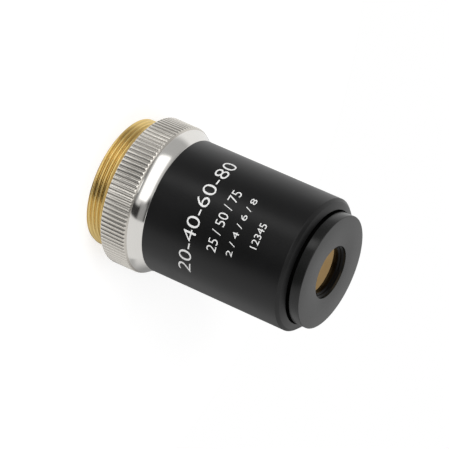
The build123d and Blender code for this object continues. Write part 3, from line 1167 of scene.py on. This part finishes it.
@dataclass
class Nose:
    """The nose disc with its opening, the stepped ring inside it and the coated lens behind."""

    disc_radius: float = 8.93
    disc_rear: float = 31.326
    disc_front: float = 32.955
    disc_edge: float = 0.09
    skirt_radius: float = 7.52
    web_rear: float = 32.581
    opening_radius: float = 4.17
    step_radius: float = 3.9
    step_rear: float = 32.371
    wall_rear: float = 32.201
    mouth_radius: float = 3.63
    mouth_rear: float = 31.991
    mouth_edge: float = 0.04
    ring_radius: float = 5.0
    ring_rear: float = 31.921
    lens_radius: float = 4.37
    lens_edge: float = 1.33
    lens_rise: float = 1.17
    lens_bevel: float = 0.08
    lens_steps: int = 24
    lens_facets: int = 160

    def disc_section(self) -> list[Point]:
        """The nose disc with its threaded skirt's bore and its thin web."""
        return rounded([
            (self.skirt_radius, self.disc_rear, 0.0),
            (self.disc_radius, self.disc_rear, self.disc_edge),
            (self.disc_radius, self.disc_front, self.disc_edge),
            (self.opening_radius, self.disc_front, self.mouth_edge),
            (self.opening_radius, self.web_rear, 0.0),
            (self.skirt_radius, self.web_rear, 0.0),
        ])

    def ring_section(self) -> list[Point]:
        """The stepped retaining ring, with broken edges that catch the light."""
        return rounded([
            (self.mouth_radius, self.ring_rear, 0.0),
            (self.ring_radius, self.ring_rear, 0.0),
            (self.ring_radius, self.web_rear, 0.0),
            (self.opening_radius, self.web_rear, 0.0),
            (self.step_radius, self.step_rear, self.mouth_edge),
            (self.step_radius, self.wall_rear, 0.0),
            (self.mouth_radius, self.mouth_rear, self.mouth_edge),
        ])

    def lens_section(self) -> list[Point]:
        """The front lens: flat outside, domed inside."""
        flat = self.ring_rear
        rim = flat - self.lens_edge
        curve = (self.lens_radius ** 2 + self.lens_rise ** 2) / (2 * self.lens_rise)
        reach = math.asin(self.lens_radius / curve)
        dome = []
        for k in range(self.lens_steps + 1):
            turn = reach * (1 - k / self.lens_steps)
            dome.append((curve * math.sin(turn), rim - self.lens_rise + curve * (1 - math.cos(turn))))
        rim_bevel = [(self.lens_radius - self.lens_bevel, flat), (self.lens_radius, flat - self.lens_bevel)]
        return [(0.0, flat)] + rim_bevel + dome

    def build(self, finishes: Finishes) -> None:
        """Builds the nose's pieces in place of their solids."""
        disc = spun(self.disc_section())
        ring = spun(self.ring_section())
        glass = spun(self.lens_section(), self.lens_facets)
        for mesh in (disc, ring, glass):
            smooth(mesh)
        seat(placed("nose_disc", disc, finishes.nose), Slot.NOSE, "nose_cap")
        seat(placed("mouth_ring", ring, finishes.cell), Slot.CELL, "front_retaining_ring")
        seat(placed("coated_lens", glass, finishes.coated), Slot.COATED, "front_lens")


@dataclass
class InnerParts:
    """The solids that keep their own meshes: the tube, the cells, the lenses and the screws."""

    glass: tuple[str, ...] = ("doublet_a_crown", "doublet_a_flint", "doublet_b_flint", "doublet_b_crown",
                              "rear_crown", "rear_flint")
    steel: tuple[str, ...] = ("centring_screws", "barrel_screws")
    brass: tuple[str, ...] = ("parfocal_shim", "mount_barrel")

    def build(self, finishes: Finishes) -> None:
        """Dresses every CAD node, and those that a finer mesh stands for too."""
        special = {"knurled_ring": finishes.knurl, "outer_sleeve": finishes.sleeve,
                   "nose_cap": finishes.nose, "front_lens": finishes.coated}
        for names, finish in ((self.glass, finishes.glass), (self.steel, finishes.steel),
                              (self.brass, finishes.brass)):
            special |= {name: finish for name in names}
        for name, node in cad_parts.items():
            node.data.materials.clear()
            node.data.materials.append(special.get(name, finishes.cell))
            log.info("%s: dressed as %s", name, node.data.materials[0].name)


# Studio


@dataclass(frozen=True)
class Card:
    """A soft box or a dark flag of the studio, by its direction from the object.

    Azimuth 0 is the side that faces the camera, and it grows towards +X. Angles are in degrees.
    """

    label: str
    azimuth: float
    elevation: float
    half_width: float
    half_height: float
    soft_width: float
    soft_height: float
    level: float


@dataclass
class Studio:
    """A white studio with soft boxes and dark flags, a pale floor and the camera."""

    base_level: float = 0.5
    floor_radius: float = 70.0
    floor_height: float = -3.75
    floor_thickness: float = 0.5
    floor_facets: int = 96
    floor_tone: Colour = (0.55, 0.55, 0.55)
    floor_roughness: float = 0.9
    floor_glow: float = 0.62
    lamp_at: Spot = (-94.0, -328.0, 203.0)
    lamp_size: float = 203.0
    lamp_power: float = 0.73
    camera_at: Spot = (-0.11, -404.68, 195.39)
    camera_to: Spot = (-0.11, 0.0, 14.27)
    roll: float = 113.9
    lens: float = 238.9
    sensor: float = 36.0

    def cards(self) -> list[Card]:
        """The studio's cards, each laid over those before it."""
        return [
            Card("ceiling", 180.0, 80.0, 200.0, 45.0, 1.0, 30.0, 0.65),
            Card("dark ceiling at the left", -30.0, 80.0, 66.0, 32.0, 24.0, 10.0, 0.2),
            Card("box behind at the left", -150.0, 0.0, 45.0, 30.0, 35.0, 30.0, 0.85),
            Card("grey wall at the left", -84.0, -10.0, 14.0, 50.0, 16.0, 25.0, 0.42),
            Card("low dark band in front", -20.0, -26.0, 50.0, 12.0, 24.0, 10.0, 0.2),
            Card("low bright strip in front", -36.0, -26.0, 8.0, 9.0, 3.0, 8.0, 1.35),
            Card("front soft box", -24.0, 20.0, 36.0, 13.0, 8.0, 10.0, 1.5),
            Card("low flag behind", 150.0, -20.0, 20.0, 20.0, 24.0, 20.0, 0.28),
            Card("low flag at the right", 33.0, -26.0, 16.0, 24.0, 16.0, 14.0, 0.06),
            Card("grey edge of the box", 36.0, 12.0, 10.0, 10.0, 12.0, 8.0, 0.3),
            Card("dark flag at the right", 40.0, 38.0, 10.0, 14.0, 8.0, 8.0, 0.03),
            Card("low wall at the right", 100.0, -24.0, 22.0, 18.0, 36.0, 18.0, 0.68),
            Card("wall at the right", 84.0, 26.0, 35.0, 36.0, 3.0, 16.0, 0.72),
            Card("small high box", -4.0, 56.0, 8.0, 5.0, 8.0, 5.0, 1.2),
            Card("table", 180.0, -80.0, 200.0, 26.0, 1.0, 14.0, 1.0),
        ]

    @staticmethod
    def _laid_over(tree: Tree, level: object, card: Card, azimuth: bpy.types.NodeSocket,
                   elevation: bpy.types.NodeSocket) -> bpy.types.NodeSocket:
        """Lays one card over the light behind it.

        Args:
            tree: The world's tree.
            level: The light level behind the card.
            card: The card.
            azimuth: Azimuth of the ray, in degrees.
            elevation: Elevation of the ray, in degrees.

        Returns:
            The light level with the card in front.
        """
        aside = tree.math("WRAP", tree.math("SUBTRACT", azimuth, card.azimuth), 180.0, -180.0)
        away = tree.math("ABSOLUTE", aside)
        above = tree.math("ABSOLUTE", tree.math("SUBTRACT", elevation, card.elevation))
        wide = tree.ramp(away, card.half_width, card.half_width + card.soft_width, 1.0, 0.0)
        tall = tree.ramp(above, card.half_height, card.half_height + card.soft_height, 1.0, 0.0)
        mask = tree.math("MULTIPLY", wide, tall)
        mask.node.label = card.label
        return tree.math("MULTIPLY_ADD", mask, tree.math("SUBTRACT", card.level, level), level)

    def world(self) -> None:
        """Builds the studio light: white behind the object, cards all round for everything else."""
        world = bpy.data.worlds.new("studio")
        world.use_nodes = True
        bpy.context.scene.world = world
        tree = Tree(world.node_tree)
        world.node_tree.nodes.clear()
        x, y, z = tree.split(tree.node("ShaderNodeTexCoord").outputs["Generated"])
        azimuth = tree.math("DEGREES", tree.math("ARCTAN2", x, tree.math("MULTIPLY", y, -1.0)))
        elevation = tree.math("DEGREES", tree.math("ARCSINE", z))
        level: object = self.base_level
        for card in self.cards():
            level = self._laid_over(tree, level, card, azimuth, elevation)
        seen = tree.node("ShaderNodeLightPath").outputs["Is Camera Ray"]
        unseen = tree.math("SUBTRACT", 1.0, seen)
        light = tree.node("ShaderNodeBackground")
        light.inputs["Color"].default_value = (1.0, 1.0, 1.0, 1.0)
        tree.feed(light.inputs["Strength"], tree.math("MULTIPLY_ADD", level, unseen, seen))
        tree.feed(tree.node("ShaderNodeOutputWorld").inputs["Surface"], light.outputs[0])

    def floor_material(self) -> bpy.types.Material:
        """The pale floor's finish, which lets mirrored and refracted rays through."""
        material = bpy.data.materials.new("pale_floor")
        material.use_nodes = True
        tree = Tree(material.node_tree)
        shader = material.node_tree.nodes["Principled BSDF"]
        shader.inputs["Base Color"].default_value = shaded(self.floor_tone)
        shader.inputs["Roughness"].default_value = self.floor_roughness
        shader.inputs["Specular IOR Level"].default_value = 0.0
        path = tree.node("ShaderNodeLightPath").outputs
        shader.inputs["Emission Color"].default_value = (1.0, 1.0, 1.0, 1.0)
        glow = tree.math("MULTIPLY", path["Is Camera Ray"], self.floor_glow)
        tree.feed(shader.inputs["Emission Strength"], glow)
        mirrored = tree.math("MAXIMUM", path["Is Glossy Ray"], path["Is Transmission Ray"])
        clear = tree.node("ShaderNodeBsdfTransparent")
        mixed = tree.node("ShaderNodeMixShader")
        for socket, value in zip(mixed.inputs, (mirrored, shader.outputs[0], clear.outputs[0])):
            tree.feed(socket, value)
        tree.feed(material.node_tree.nodes["Material Output"].inputs["Surface"], mixed.outputs[0])
        return material

    def floor(self) -> None:
        """Builds the pale floor, which keeps a light shadow and which metal doesn't mirror."""
        under = self.floor_height - self.floor_thickness
        mesh = spun([(0.0, self.floor_height), (self.floor_radius, self.floor_height),
                     (self.floor_radius, under), (0.0, under)], self.floor_facets)
        placed("floor", mesh, self.floor_material())

    def lamp(self) -> None:
        """Adds a soft lamp that lights the paint and the metal's body but isn't mirrored."""
        data = bpy.data.lights.new("front_lamp", "AREA")
        data.size = self.lamp_size * MM
        data.energy = self.lamp_power
        lamp = bpy.data.objects.new("front_lamp", data)
        lamp.location = Vector(self.lamp_at) * MM
        aim = Vector(self.camera_to) * MM - lamp.location
        lamp.rotation_euler = aim.to_track_quat("-Z", "Y").to_euler()
        lamp.visible_glossy = False
        bpy.context.scene.collection.objects.link(lamp)

    def camera(self) -> None:
        """Sets the camera at the photograph's viewing angle."""
        data = bpy.data.cameras.new("camera")
        data.lens = self.lens
        data.sensor_width = self.sensor
        data.clip_start, data.clip_end = 0.05, 5.0
        camera = bpy.data.objects.new("camera", data)
        bpy.context.scene.collection.objects.link(camera)
        at, to = Vector(self.camera_at) * MM, Vector(self.camera_to) * MM
        back = (at - to).normalized()
        level = Vector((1.0, 0.0, 0.0))
        upright = back.cross(level)
        roll = math.radians(self.roll)
        right = level * math.cos(roll) + upright * math.sin(roll)
        turn = Matrix((right, back.cross(right), back)).transposed()
        camera.matrix_world = Matrix.Translation(at) @ turn.to_4x4()
        bpy.context.scene.camera = camera

    def build(self) -> None:
        """Builds the world, the floor, the lamp and the camera."""
        self.world()
        self.floor()
        self.lamp()
        self.camera()


def main() -> None:
    """Builds the objective's looks and the studio."""
    logging.basicConfig(level=logging.INFO, format="%(message)s", stream=sys.stdout)
    bpy.context.scene.view_settings.view_transform = "Standard"
    finishes = build_finishes(Effects())
    InnerParts().build(finishes)
    MountBarrel().build(finishes)
    GripRing().build(finishes)
    Sleeve().build(finishes)
    Nose().build(finishes)
    Studio().build()


if __name__ == "__main__":
    main()
